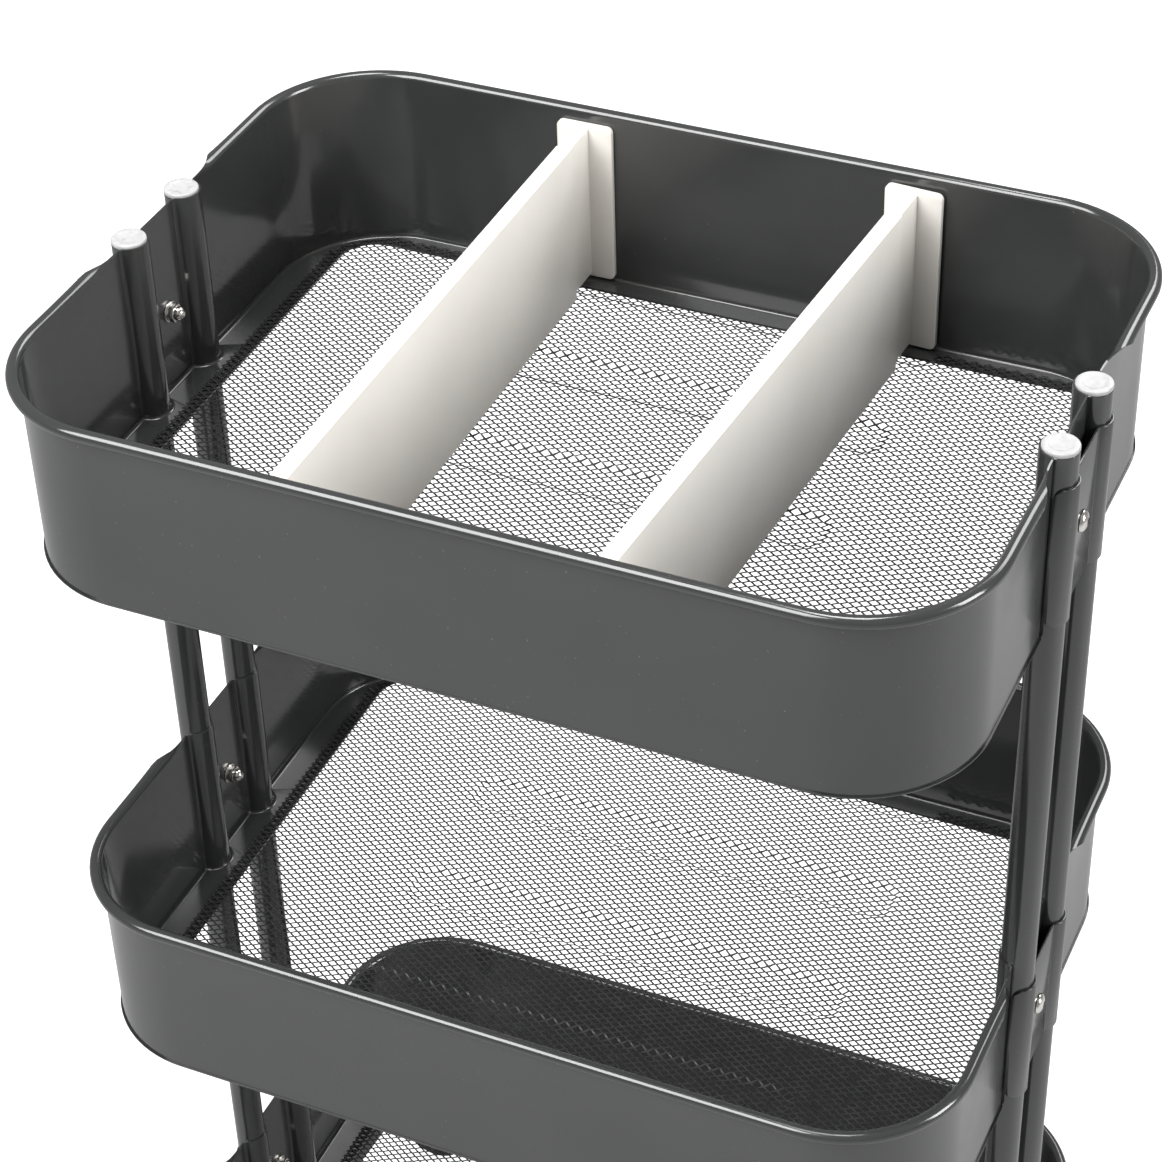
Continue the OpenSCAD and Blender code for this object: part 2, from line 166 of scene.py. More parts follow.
def walk(start, towards):
    """The vertices of a chain or ring in order, beginning at start."""
    chain, last, here = [start], None, start
    while True:
        ways = [e.other_vert(here) for e in here.link_edges]
        ways = [v for v in ways if v is not last]
        if not ways:
            return chain
        last, here = here, (min(ways, key=towards) if last is None else ways[0])
        if here is start:
            return chain
        chain.append(here)


def outward(chain, closed):
    """For each vertex of an anticlockwise chain, the direction out of it in plan."""
    count, found = len(chain), []
    for i, vert in enumerate(chain):
        before = chain[i - 1] if closed or i else vert
        after = chain[(i + 1) % count] if closed or i < count - 1 else vert
        along = (after.co - before.co).normalized()
        found.append(Vector((along.y, -along.x, 0)))
    return found


def grow(bm, chain, closed, places):
    """Extrudes a chain of vertices once and moves the new ones to their places."""
    pairs = list(zip(chain, chain[1:] + chain[:1])) if closed else list(zip(chain, chain[1:]))
    edges = [bm.edges.get(pair) for pair in pairs]
    fresh = bmesh.ops.extrude_edge_only(bm, edges=edges)["geom"]
    fresh = {g for g in fresh if isinstance(g, bmesh.types.BMVert)}
    new = [next(e.other_vert(v) for e in v.link_edges if e.other_vert(v) in fresh) for v in chain]
    for vert, place in zip(new, places):
        vert.co = place
    return new


def turned(bm, profile, matrix, segments=48, closed=False):
    """A turned shape: a profile of (radius, height) points spun round Z and put in place."""
    verts = [bmesh.ops.create_vert(bm, co=(profile[0][0], 0, profile[0][1]))["vert"][0]]
    for radius, height in profile[1:]:
        verts.append(line_to(bm, verts[-1], (radius, 0, height)))
    if closed:
        bmesh.ops.contextual_create(bm, geom=[verts[-1], verts[0]])
    lines = list({e for v in verts for e in v.link_edges})
    old = set(bm.verts) - set(verts)
    bmesh.ops.spin(bm, geom=verts + lines, cent=(0, 0, 0), axis=(0, 0, 1),
                   angle=math.tau, steps=segments, use_merge=True)
    new = [v for v in bm.verts if v not in old]
    bmesh.ops.remove_doubles(bm, verts=new, dist=0.001 * MM)
    new = [v for v in bm.verts if v not in old]
    faces = list({f for v in new for f in v.link_faces})
    bmesh.ops.recalc_face_normals(bm, faces=faces)
    bmesh.ops.transform(bm, matrix=matrix, verts=new)
    if matrix.is_negative:
        bmesh.ops.reverse_faces(bm, faces=faces)
    return new


def rounded(radius_from, height_from, radius_to, height_to, steps=5):
    """Profile points of a quarter round from one point to the other, horizontal tangent last."""
    points = []
    for step in range(steps + 1):
        turn = math.pi / 2 * step / steps
        points.append((radius_to + (radius_from - radius_to) * math.cos(turn),
                       height_from + (height_to - height_from) * math.sin(turn)))
    return points


def block(bm, size, centre):
    """A box of a given size about a centre; returns its vertices."""
    made = bmesh.ops.create_cube(bm, size=1)["verts"]
    bmesh.ops.scale(bm, vec=size, verts=made)
    bmesh.ops.translate(bm, vec=centre, verts=made)
    return made


def face_of(verts, direction):
    """The face of some vertices that looks most in a direction."""
    faces = {f for v in verts for f in v.link_faces}
    return max(faces, key=lambda f: f.normal.dot(Vector(direction)))


def piece(bm, name, finish, body, nodes=(), sheet=0.0, bevel=0.0, sharp=32):
    """Makes a bmesh into a piece that rides on a body and stands for CAD nodes."""
    mesh = bpy.data.meshes.new(name)
    bm.to_mesh(mesh)
    bm.free()
    made = bpy.data.objects.new(name, mesh)
    bpy.context.scene.collection.objects.link(made)
    if sheet:
        shell = made.modifiers.new("sheet", "SOLIDIFY")
        shell.thickness = sheet
        shell.offset = 0
        shell.use_even_offset = True
    if bevel:
        edge = made.modifiers.new("edges", "BEVEL")
        edge.width = bevel
        edge.segments = 2
        edge.limit_method = "ANGLE"
        edge.angle_limit = math.radians(40)
    if sheet or bevel:
        graph = bpy.context.evaluated_depsgraph_get()
        made.data = bpy.data.meshes.new_from_object(made.evaluated_get(graph))
        made.data.name = name
        made.modifiers.clear()
        bpy.data.meshes.remove(mesh)
    made.data.polygons.foreach_set("use_smooth", [True] * len(made.data.polygons))
    made.data.set_sharp_from_angle(angle=math.radians(sharp))
    made.data.materials.append(finish)
    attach(made, body)
    if nodes:
        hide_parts(*nodes)
    return made


# ---------------------------------------------------------------- finishes

class Finish:
    """A procedural material: a Principled shader and the nodes that feed it."""

    def __init__(self, name, colour, roughness, metallic=0.0):
        self.material = bpy.data.materials.new(name)
        self.material.use_nodes = True
        self.nodes = self.material.node_tree.nodes
        self.links = self.material.node_tree.links
        self.shader = self.nodes["Principled BSDF"]
        self.shader.inputs["Base Color"].default_value = (*colour, 1)
        self.shader.inputs["Roughness"].default_value = roughness
        self.shader.inputs["Metallic"].default_value = metallic
        self.place = self.nodes.new("ShaderNodeTexCoord").outputs["Object"]

    def noise(self, grain, detail=2.0, stretch=(1, 1, 1)):
        """Noise whose lumps are about grain metres across."""
        mapping = self.nodes.new("ShaderNodeMapping")
        mapping.inputs["Scale"].default_value = stretch
        self.links.new(self.place, mapping.inputs["Vector"])
        found = self.nodes.new("ShaderNodeTexNoise")
        found.inputs["Scale"].default_value = 1 / grain
        found.inputs["Detail"].default_value = detail
        self.links.new(mapping.outputs["Vector"], found.inputs["Vector"])
        return found.outputs["Fac"]

    def ranged(self, value, low, high, from_low=0.3, from_high=0.7):
        """A value spread over a new range."""
        node = self.nodes.new("ShaderNodeMapRange")
        for socket, number in zip(("From Min", "From Max", "To Min", "To Max"),
                                  (from_low, from_high, low, high)):
            node.inputs[socket].default_value = number
        self.links.new(value, node.inputs["Value"])
        return node.outputs["Result"]

    def mixed(self, factor, first, second):
        """Two colours, or a colour and another mix, mixed by a factor."""
        node = self.nodes.new("ShaderNodeMix")
        node.data_type = "RGBA"
        for socket, colour in ((node.inputs[6], first), (node.inputs[7], second)):
            if isinstance(colour, bpy.types.NodeSocket):
                self.links.new(colour, socket)
            else:
                socket.default_value = (*colour, 1)
        self.links.new(factor, node.inputs[0])
        return node.outputs[2]

    def coloured(self, value):
        self.links.new(value, self.shader.inputs["Base Color"])

    def roughened(self, value):
        self.links.new(value, self.shader.inputs["Roughness"])

    def bumped(self, value, height, strength=1.0):
        """Lumps of a height in metres, added to the bump that is there already."""
        node = self.nodes.new("ShaderNodeBump")
        node.inputs["Strength"].default_value = strength
        node.inputs["Distance"].default_value = height
        self.links.new(value, node.inputs["Height"])
        normal = self.shader.inputs["Normal"]
        if normal.is_linked:
            self.links.new(normal.links[0].from_socket, node.inputs["Normal"])
        self.links.new(node.outputs["Normal"], normal)


def powder_coat():
    """Glossy dark grey powder coat: orange peel, cloudy gloss and a few specks of dust."""
    coat = Finish("powder_coat", (0.034, 0.035, 0.035), 0.14)
    coat.shader.inputs["IOR"].default_value = 1.7
    clouds = coat.noise(60 * MM, 3)
    tone = coat.mixed(coat.ranged(clouds, 0, 1), (0.031, 0.032, 0.032), (0.037, 0.038, 0.038))
    specks = coat.ranged(coat.noise(1.3 * MM, 0), 0, 0.25, 0.86, 0.9)
    coat.coloured(coat.mixed(specks, tone, (0.3, 0.3, 0.29)))
    coat.roughened(coat.ranged(coat.noise(25 * MM, 4), 0.11, 0.18))
    coat.bumped(coat.noise(2.2 * MM, 1), 0.004 * MM)
    coat.bumped(coat.noise(16 * MM, 1), 0.02 * MM)
    return coat.material


def mesh_coat():
    """The same coat on the thin strands, pooled a little at the knots."""
    coat = Finish("mesh_coat", (0.03, 0.03, 0.031), 0.25)
    pools = coat.noise(5 * MM, 2)
    coat.coloured(coat.mixed(coat.ranged(pools, 0, 1), (0.024, 0.024, 0.025), (0.038, 0.038, 0.039)))
    coat.roughened(coat.ranged(pools, 0.24, 0.4))
    coat.bumped(coat.noise(0.7 * MM, 1), 0.02 * MM)
    return coat.material


def cap_plastic():
    """Light grey moulded plastic with a fine moulded grain."""
    plastic = Finish("cap_plastic", (0.46, 0.46, 0.46), 0.32)
    clouds = plastic.noise(4 * MM, 3)
    plastic.coloured(plastic.mixed(plastic.ranged(clouds, 0, 1), (0.42, 0.42, 0.42), (0.50, 0.50, 0.50)))
    plastic.roughened(plastic.ranged(clouds, 0.26, 0.38))
    plastic.bumped(plastic.noise(0.5 * MM, 1), 0.01 * MM)
    return plastic.material


def nickel():
    """Bright nickel plate with faint polishing marks."""
    metal = Finish("nickel", (0.78, 0.76, 0.72), 0.12, 1.0)
    marks = metal.noise(0.6 * MM, 3, (1, 6, 6))
    metal.roughened(metal.ranged(marks, 0.08, 0.2))
    clouds = metal.ranged(metal.noise(3 * MM), 0, 1)
    metal.coloured(metal.mixed(clouds, (0.72, 0.70, 0.66), (0.84, 0.82, 0.78)))
    metal.bumped(marks, 0.004 * MM)
    return metal.material


def zinc_steel():
    """Bright zinc on pressed steel: fine drawing lines and a cloudy shine."""
    metal = Finish("zinc_steel", (0.62, 0.63, 0.65), 0.34, 1.0)
    lines = metal.noise(0.8 * MM, 4, (1, 1, 0.08))
    clouds = metal.ranged(metal.noise(9 * MM, 4), 0, 1)
    metal.coloured(metal.mixed(clouds, (0.52, 0.53, 0.56), (0.70, 0.71, 0.72)))
    metal.roughened(metal.ranged(lines, 0.26, 0.46))
    metal.bumped(lines, 0.012 * MM)
    return metal.material


def hub_plastic():
    """Dark grey moulded nylon."""
    plastic = Finish("hub_plastic", (0.05, 0.05, 0.052), 0.45)
    plastic.roughened(plastic.ranged(plastic.noise(2 * MM, 4), 0.38, 0.55))
    plastic.coloured(plastic.mixed(plastic.ranged(plastic.noise(12 * MM, 3), 0, 1),
                                   (0.045, 0.045, 0.047), (0.06, 0.06, 0.062)))
    plastic.bumped(plastic.noise(0.4 * MM, 1), 0.012 * MM)
    return plastic.material


def tyre_rubber():
    """Grey soft tread with a little floor dust on it."""
    rubber = Finish("tyre_rubber", (0.03, 0.03, 0.031), 0.7)
    dust = rubber.ranged(rubber.noise(6 * MM, 6), 0, 0.5, 0.45, 0.75)
    rubber.coloured(rubber.mixed(dust, (0.028, 0.028, 0.029), (0.11, 0.105, 0.10)))
    rubber.roughened(rubber.ranged(rubber.noise(1.5 * MM, 4), 0.6, 0.85))
    rubber.bumped(rubber.noise(0.6 * MM, 3), 0.03 * MM)
    return rubber.material


def divider_plastic():
    """Off-white satin plastic: a soft depth, a fine spark-eroded grain and faint flow clouds."""
    plastic = Finish("divider_plastic", (0.82, 0.795, 0.745), 0.42)
    clouds = plastic.noise(45 * MM, 3)
    plastic.coloured(plastic.mixed(plastic.ranged(clouds, 0, 1), (0.80, 0.775, 0.725), (0.835, 0.81, 0.765)))
    plastic.roughened(plastic.ranged(plastic.noise(5 * MM, 4), 0.36, 0.48))
    plastic.bumped(plastic.noise(0.45 * MM, 1), 0.008 * MM)
    plastic.shader.inputs["Subsurface Weight"].default_value = 0.15
    plastic.shader.inputs["Subsurface Radius"].default_value = (1.0, 0.8, 0.6)
    plastic.shader.inputs["Subsurface Scale"].default_value = 1.5 * MM
    return plastic.material


# ---------------------------------------------------------------- trays

def fade(distance, none, full):
    """0 up to one distance and 1 past the other, turning smoothly between them."""
    t = min(max((distance - none) / (full - none), 0), 1)
    return t * t * (3 - 2 * t)


def wall_ring(bm):
    """The wall in plan, at the sheet's middle: a ring with a round groove at each post."""
    inwards = POST.x - WALL_X + GROOVE_BEND
    beside = math.sqrt((GROOVE_R + GROOVE_BEND) ** 2 - inwards ** 2)
    turn = math.atan2(beside, inwards)
    bend_x = WALL_X - GROOVE_BEND
    vert = bmesh.ops.create_vert(bm, co=(WALL_X, 0, 0))["vert"][0]
    start = vert
    vert = lines_to(bm, vert, (WALL_X, POST.y - beside, 0), 4)
    vert = arc_to(bm, vert, (bend_x, POST.y - beside, 0), turn, 5)
    vert = arc_to(bm, vert, (POST.x, POST.y, 0), -2 * turn, 18)
    vert = arc_to(bm, vert, (bend_x, POST.y + beside, 0), turn, 5)
    vert = lines_to(bm, vert, (WALL_X, WALL_Y - CORNER_R, 0), 16)
    vert = arc_to(bm, vert, (WALL_X - CORNER_R, WALL_Y - CORNER_R, 0), math.pi / 2, 20)
    lines_to(bm, vert, (0, WALL_Y, 0), 10)
    for axis in "XY":
        bmesh.ops.mirror(bm, geom=bm.verts[:] + bm.edges[:], matrix=Matrix.Identity(4),
                         merge_dist=0.01 * MM, axis=axis)
    ring = walk(start, lambda v: -v.co.y)
    return ring, outward(ring, True)


def curl(part, full_turn, full_radius, plain, amount):
    """A point of an edge rolled by an amount from 0 to 1: (out, height under its crest)."""
    turn = full_turn * amount
    length = plain + amount * (full_turn * full_radius - plain)
    if turn < 0.001:
        return 0.0, length * (part - 1)
    radius = length / turn
    crest = radius * math.sin(min(turn, math.pi / 2))
    return radius * (1 - math.cos(turn * part)), radius * math.sin(turn * part) - crest


def tray_shell(tier, finish):
    """The tray's wall with its hem and its rolled rim, which opens out towards the posts."""
    bm = bmesh.new()
    foot_z = RIM[tier] - TRAY_H + SHEET / 2
    crest_z = RIM[tier] - SHEET / 2
    ring, out = wall_ring(bm)
    plan = [v.co.copy() for v in ring]
    roll = [fade(abs(p.y), ROLL_ENDS, ROLL_FULL) for p in plan]

    def rolled(part, amount):
        """Places for the rim's row at a part of its roll."""
        found = []
        for point, direction, k in zip(plan, out, roll):
            away, height = curl(part, BEAD_TURN, BEAD_R - SHEET / 2, PLAIN_LIP, k * amount)
            found.append(point + direction * away + Vector((0, 0, crest_z + height)))
        return found

    for vert, point in zip(ring, plan):
        vert.co.z = foot_z + HEM_R
    here = ring
    for step in range(1, 7):
        away, height = curl(step / 6, HEM_TURN, HEM_R, HEM_R, 1)
        here = grow(bm, here, True, [p + o * away + Vector((0, 0, foot_z - height - HEM_R))
                                     for p, o in zip(plan, out)])
    base = rolled(0, 1)
    here = grow(bm, ring, True, [p.lerp(b, 0.5) + Vector((0, 0, foot_z * 0.5)) for p, b in zip(plan, base)])
    here = grow(bm, here, True, base)
    for step in range(1, 17):
        here = grow(bm, here, True, rolled(step / 16, 1))
    bmesh.ops.recalc_face_normals(bm, faces=bm.faces[:])
    piece(bm, f"tray_{tier}_shell", finish, TIER_BODY[tier],
          [f"tray_{tier}"], sheet=SHEET, sharp=50)


def tray_flange(tier, finish):
    """The flange at the tray's foot that carries the mesh, with its bend against the wall."""
    bm = bmesh.new()
    ring, out = wall_ring(bm)
    plan = [v.co.copy() for v in ring]
    level = RIM[tier] - TRAY_H + FLANGE_UP
    gap = SHEET + 0.02 * MM
    here = ring
    for step in range(5):
        turn = math.pi / 2 * step / 4
        inwards = gap + FLANGE_BEND * (1 - math.cos(turn))
        height = level + FLANGE_BEND * (1 - math.sin(turn))
        places = [p - o * inwards + Vector((0, 0, height)) for p, o in zip(plan, out)]
        if step:
            here = grow(bm, here, True, places)
        else:
            for vert, place in zip(ring, places):
                vert.co = place
    wall = Vector((WALL_X - CORNER_R, WALL_Y - CORNER_R, 0))
    hole = extent("mesh_" + tier) / 2 - Vector((1, 1, 0)) * (MESH_LAP + OPENING_CORNER)
    places = []
    for point in plan:
        core = Vector((min(max(point.x, -wall.x), wall.x), min(max(point.y, -wall.y), wall.y), 0))
        edge = Vector((core.x / wall.x * hole.x, core.y / wall.y * hole.y, level))
        places.append(edge + (point - core).normalized() * OPENING_CORNER)
    edge = grow(bm, here, True, places)
    grow(bm, edge, True, [v.co - Vector((0, 0, SHEET)) for v in edge])
    bmesh.ops.recalc_face_normals(bm, faces=bm.faces[:])
    piece(bm, f"tray_{tier}_flange", finish, TIER_BODY[tier], sheet=SHEET, sharp=50)


def rib_drop(x, y, shift):
    """How deep the pressed ribs are at a place on the mesh floor."""
    y -= RIB_PITCH * round(y / RIB_PITCH)
    beyond_x = abs(x - shift) - (RIB_HALF_X - RIB_CORNER)
    beyond_y = abs(y) - (RIB_HALF_Y - RIB_CORNER)
    outside = math.hypot(max(beyond_x, 0), max(beyond_y, 0)) - RIB_CORNER
    if beyond_x < 0 and beyond_y < 0:
        outside = -RIB_CORNER
    return RIB_DEPTH * fade(-outside, 0, RIB_SLOPE)


def mesh_floor(tier, finish):
    """The expanded mesh: slit and stretched sheet, with tilted knots and three pressed ribs."""
    bm = bmesh.new()
    half = middle("mesh_" + tier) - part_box("mesh_" + tier)[0]
    corner_r = MESH_CORNER
    cells = math.ceil(half.x / DIAMOND_X + half.y / DIAMOND_Y)
    lines = 4 * cells
    bmesh.ops.create_grid(bm, x_segments=lines, y_segments=lines, size=lines / 2)
    level = middle("mesh_" + tier).z - STRAND_TILT / 2

    def spread(i, j):
        """Where line i of one strand family crosses line j of the other."""
        u = i // 2 + STRAND * (i % 2) - cells - STRAND / 2
        v = j // 2 + STRAND * (j % 2) - cells - STRAND / 2
        return (u + v) * DIAMOND_X / 2, (u - v) * DIAMOND_Y / 2

    def inside(x, y):
        beyond_x, beyond_y = abs(x) - half.x + corner_r, abs(y) - half.y + corner_r
        if beyond_x > 0 and beyond_y > 0:
            return math.hypot(beyond_x, beyond_y) < corner_r
        return beyond_x < corner_r and beyond_y < corner_r

    spare = []
    for face in bm.faces:
        centre = face.calc_center_median()
        i, j = int(centre.x + lines / 2), int(centre.y + lines / 2)
        x0, y0 = spread(i, j)
        x1, y1 = spread(i + 1, j + 1)
        hole = i % 2 and j % 2
        if hole or not inside((x0 + x1) / 2, (y0 + y1) / 2):
            spare.append(face)
    bmesh.ops.delete(bm, geom=spare, context="FACES")
    for vert in bm.verts:
        i, j = round(vert.co.x + lines / 2), round(vert.co.y + lines / 2)
        x, y = spread(i, j)
        tilt = STRAND_TILT * ((i % 2) - (j % 2))
        vert.co = (x, y, level + tilt - rib_drop(x, y, RIB_SHIFT[tier]))
    bmesh.ops.recalc_face_normals(bm, faces=bm.faces[:])
    piece(bm, f"mesh_{tier}_strands", finish, TIER_BODY[tier],
          [f"mesh_{tier}"], sheet=STRAND_SHEET, sharp=40)


# ---------------------------------------------------------------- clamps and fasteners

def clamp(tier, side, finish):
    """A clamp bracket: a channel round each post and a flat web between them."""
    node = f"clamp_{tier}_{side}"
    bm = bmesh.new()
    low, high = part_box(node)
    bend_x = CLAMP_WEB + CHANNEL_BEND
    beside = math.sqrt((CHANNEL_R + CHANNEL_BEND) ** 2 - (bend_x - POST.x) ** 2)
    turn = math.atan2(beside, bend_x - POST.x)
    vert = bmesh.ops.create_vert(bm, co=(CLAMP_WEB, 0, 0))["vert"][0]
    vert = lines_to(bm, vert, (CLAMP_WEB, POST.y - beside, 0), 4)
    vert = arc_to(bm, vert, (bend_x, POST.y - beside, 0), -turn, 4)
    end = arc_to(bm, vert, (POST.x, POST.y, 0), CHANNEL_SPREAD + turn, 24)
    bmesh.ops.mirror(bm, geom=bm.verts[:] + bm.edges[:], matrix=Matrix.Identity(4),
                     merge_dist=0.01 * MM, axis="Y")
    chain = walk(end, lambda v: 0)
    lengths = [0.0]
    for before, after in zip(chain, chain[1:]):
        lengths.append(lengths[-1] + (after.co - before.co).length)
    rows = []
    for length in lengths:
        near = min(length, lengths[-1] - length, CLAMP_CORNER)
        cut = CLAMP_CORNER - math.sqrt(CLAMP_CORNER ** 2 - (CLAMP_CORNER - near) ** 2)
        rows.append((low.z + cut, high.z - cut))
    plan = [v.co.copy() for v in chain]
    for vert, row in zip(chain, rows):
        vert.co.z = row[0]
    here = chain
    for share in (0.5, 1.0):
        here = grow(bm, here, False, [p + Vector((0, 0, r[0] + (r[1] - r[0]) * share))
                                      for p, r in zip(plan, rows)])
    if side == "left":
        bmesh.ops.scale(bm, vec=(-1, 1, 1), verts=bm.verts[:])
    bmesh.ops.recalc_face_normals(bm, faces=bm.faces[:])
    piece(bm, node + "_bracket", finish, TIER_BODY[tier], [node],
          sheet=CLAMP_SHEET, bevel=0.25 * MM, sharp=50)


def along_x(x, z, direction):
    """Turns Z to point along X, out of the trolley for 1 and into it for -1."""
    return Matrix.Translation((x, 0, z)) @ Matrix.Rotation(math.radians(90) * direction, 4, "Y")


def bolts(tier, finish):
    """The two round-headed bolts of a tray's clamps, each with a round socket in its head."""
    node = "bolts_" + tier
    bm = bmesh.new()
    z = middle(node).z
    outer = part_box(node)[1].x
    head_r = extent(node).z / 2
    head_h = 2.8 * MM
    shank_r = 2.5 * MM
    shank = 10 * MM
    socket_r, socket_h = 1.8 * MM, 1.5 * MM
    profile = [(0, -shank), (shank_r - 0.4 * MM, -shank), (shank_r, -shank + 0.4 * MM), (shank_r, 0)]
    profile += [(head_r - 0.2 * MM, 0), (head_r, 0.3 * MM)]
    profile += [(head_r * math.cos(t), 0.3 * MM + (head_h - 0.3 * MM) * math.sin(t))
                for t in (math.radians(a) for a in (12, 25, 38, 51, 64))]
    profile += [(socket_r, head_h), (socket_r, head_h - socket_h), (0, head_h - socket_h)]
    for sign in SIDES.values():
        turned(bm, profile, along_x(sign * (outer - head_h), z, sign), 36)
    piece(bm, node + "_pair", finish, TIER_BODY[tier], [node])


def cap_nuts(tier, finish):
    """The two cap nuts inside a tray: a chamfered hexagon with a dome."""
    node = "cap_nuts_" + tier
    bm = bmesh.new()
    z = middle(node).z
    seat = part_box(node)[1].x
    flat_r = extent(node).y / 2
    hex_h = 4 * MM
    dome_r = 3.4 * MM
    washer_r, washer_h = 5.2 * MM, 0.8 * MM
    bore, soft = 2.5 * MM, 0.2 * MM
    corner_r = flat_r / math.cos(math.pi / 6)
    for sign in SIDES.values():
        into = along_x(sign * seat, z, -sign)
        washer = [(bore, 0), (washer_r - soft, 0), (washer_r, soft),
                  (washer_r, washer_h - soft), (washer_r - soft, washer_h), (bore, washer_h)]
        turned(bm, washer, into, 36, closed=True)
        hexagon = bmesh.ops.create_cone(bm, cap_ends=True, segments=6, radius1=corner_r,
                                        radius2=corner_r, depth=hex_h - washer_h)["verts"]
        lift = Matrix.Translation((0, 0, (hex_h + washer_h) / 2))
        bmesh.ops.transform(bm, matrix=into @ lift, verts=hexagon)
        dome = [(dome_r, hex_h - 0.2 * MM)]
        dome += rounded(dome_r, hex_h + 0.6 * MM, 0, hex_h + 0.6 * MM + dome_r, 8)
        turned(bm, dome, into, 36)
    piece(bm, node + "_pair", finish, TIER_BODY[tier], [node], bevel=0.3 * MM)


# ---------------------------------------------------------------- posts and legs

def post(corner, finish):
    """A post tube with its wall and softened ends."""
    node = "post_" + corner
    low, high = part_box(node)
    bore, soft = POST_R - TUBE_WALL, 0.3 * MM
    profile = [(bore, low.z), (POST_R - soft, low.z), (POST_R, low.z + soft),
               (POST_R, high.z - soft), (POST_R - soft, high.z), (bore, high.z)]
    bm = bmesh.new()
    place = middle(node)
    turned(bm, profile, Matrix.Translation((place.x, place.y, 0)), 64, closed=True)
    piece(bm, node + "_tube", finish, "frame", [node])


def post_cap(corner, finish):
    """A cap: a rounded head with a shallow dish and a plug in the tube."""
    node = "post_cap_" + corner
    low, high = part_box(node)
    head_h, round_r, dish = 2.2 * MM, 0.8 * MM, 0.35 * MM
    plug_r = POST_R - TUBE_WALL - 0.05 * MM
    top = high.z
    profile = [(0, low.z), (plug_r - 0.5 * MM, low.z), (plug_r, low.z + 0.5 * MM), (plug_r, top - head_h)]
    profile += [(POST_R - 0.2 * MM, top - head_h), (POST_R, top - head_h + 0.2 * MM)]
    profile += rounded(POST_R, top - round_r, POST_R - round_r, top)
    profile += [(POST_R * 0.70, top), (POST_R * 0.64, top - dish * 0.3), (POST_R * 0.58, top - dish * 0.9),
                (POST_R * 0.52, top - dish), (0, top - dish * 0.7)]
    bm = bmesh.new()
    place = middle(node)
    turned(bm, profile, Matrix.Translation((place.x, place.y, 0)), 64)
    piece(bm, node + "_moulding", finish, "frame", [node], sharp=60)


def leg(corner, finish):
    """A leg: a tube bent outwards and welded into the caster's upright socket."""
    node = "leg_" + corner
    side, way = CORNERS[corner]
    foot = middle("caster_stem_" + corner)
    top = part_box("post_" + corner)[0].z
    socket_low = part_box("caster_stem_" + corner)[1].z - 24 * MM
    socket_h, socket_r, stem_r = 26 * MM, 10.5 * MM, 5 * MM
    foot_y = abs(foot.y)
    bm = bmesh.new()
    bend_z = top - COLLAR_H
    tube = bmesh.ops.create_circle(bm, segments=40, radius=POST_R - TUBE_WALL / 2,
                                   matrix=Matrix.Translation((0, POST.y, bend_z)))["verts"]
    rim = list({e for v in tube for e in v.link_edges})
    spun = bmesh.ops.spin(bm, geom=tube + rim, cent=(0, POST.y + BEND_R, bend_z), axis=(1, 0, 0),
                          angle=BEND_TURN, steps=18)["geom_last"]
    last = [g for g in spun if isinstance(g, bmesh.types.BMEdge)]
    along = Vector((0, math.sin(BEND_TURN), -math.cos(BEND_TURN)))
    end_y = POST.y + BEND_R * (1 - math.cos(BEND_TURN))
    run = (foot_y - stem_r - end_y) / along.y
    moved = [g for g in bmesh.ops.extrude_edge_only(bm, edges=last)["geom"]
             if isinstance(g, bmesh.types.BMVert)]
    bmesh.ops.translate(bm, vec=along * run, verts=moved)
    spigot = [g for g in bmesh.ops.extrude_edge_only(bm, edges=rim)["geom"]
              if isinstance(g, bmesh.types.BMVert)]
    bmesh.ops.translate(bm, vec=(0, 0, COLLAR_H), verts=spigot)
    bmesh.ops.recalc_face_normals(bm, faces=bm.faces[:])
    bmesh.ops.solidify(bm, geom=bm.faces[:], thickness=TUBE_WALL)
    bead_at = Vector((0, foot_y - socket_r + 0.6 * MM, 0))
    bead_at.z = bend_z - BEND_R * math.sin(BEND_TURN) - (bead_at.y - end_y) / math.tan(BEND_TURN)
    weld = [(POST_R - 0.3 * MM + 1.5 * MM * math.cos(t), 1.5 * MM * math.sin(t))
            for t in (math.tau * s / 10 for s in range(10))]
    turned(bm, weld, Matrix.Translation(bead_at) @ along.to_track_quat("Z", "X").to_matrix().to_4x4(),
           40, closed=True)
    soft = 0.8 * MM
    cup = [(stem_r, 0), (socket_r - soft, 0), (socket_r, soft), (socket_r, socket_h - soft)]
    cup += rounded(socket_r, socket_h - soft, socket_r - soft, socket_h)[1:]
    cup += [(stem_r, socket_h)]
    turned(bm, cup, Matrix.Translation((0, foot_y, socket_low)), 48, closed=True)
    bmesh.ops.scale(bm, vec=(side, way, 1), verts=bm.verts[:])
    if side * way < 0:
        bmesh.ops.reverse_faces(bm, faces=bm.faces[:])
    bmesh.ops.translate(bm, vec=(foot.x, 0, 0), verts=bm.verts[:])
    piece(bm, node + "_tube", finish, "frame", [node], sharp=40)


# ---------------------------------------------------------------- casters

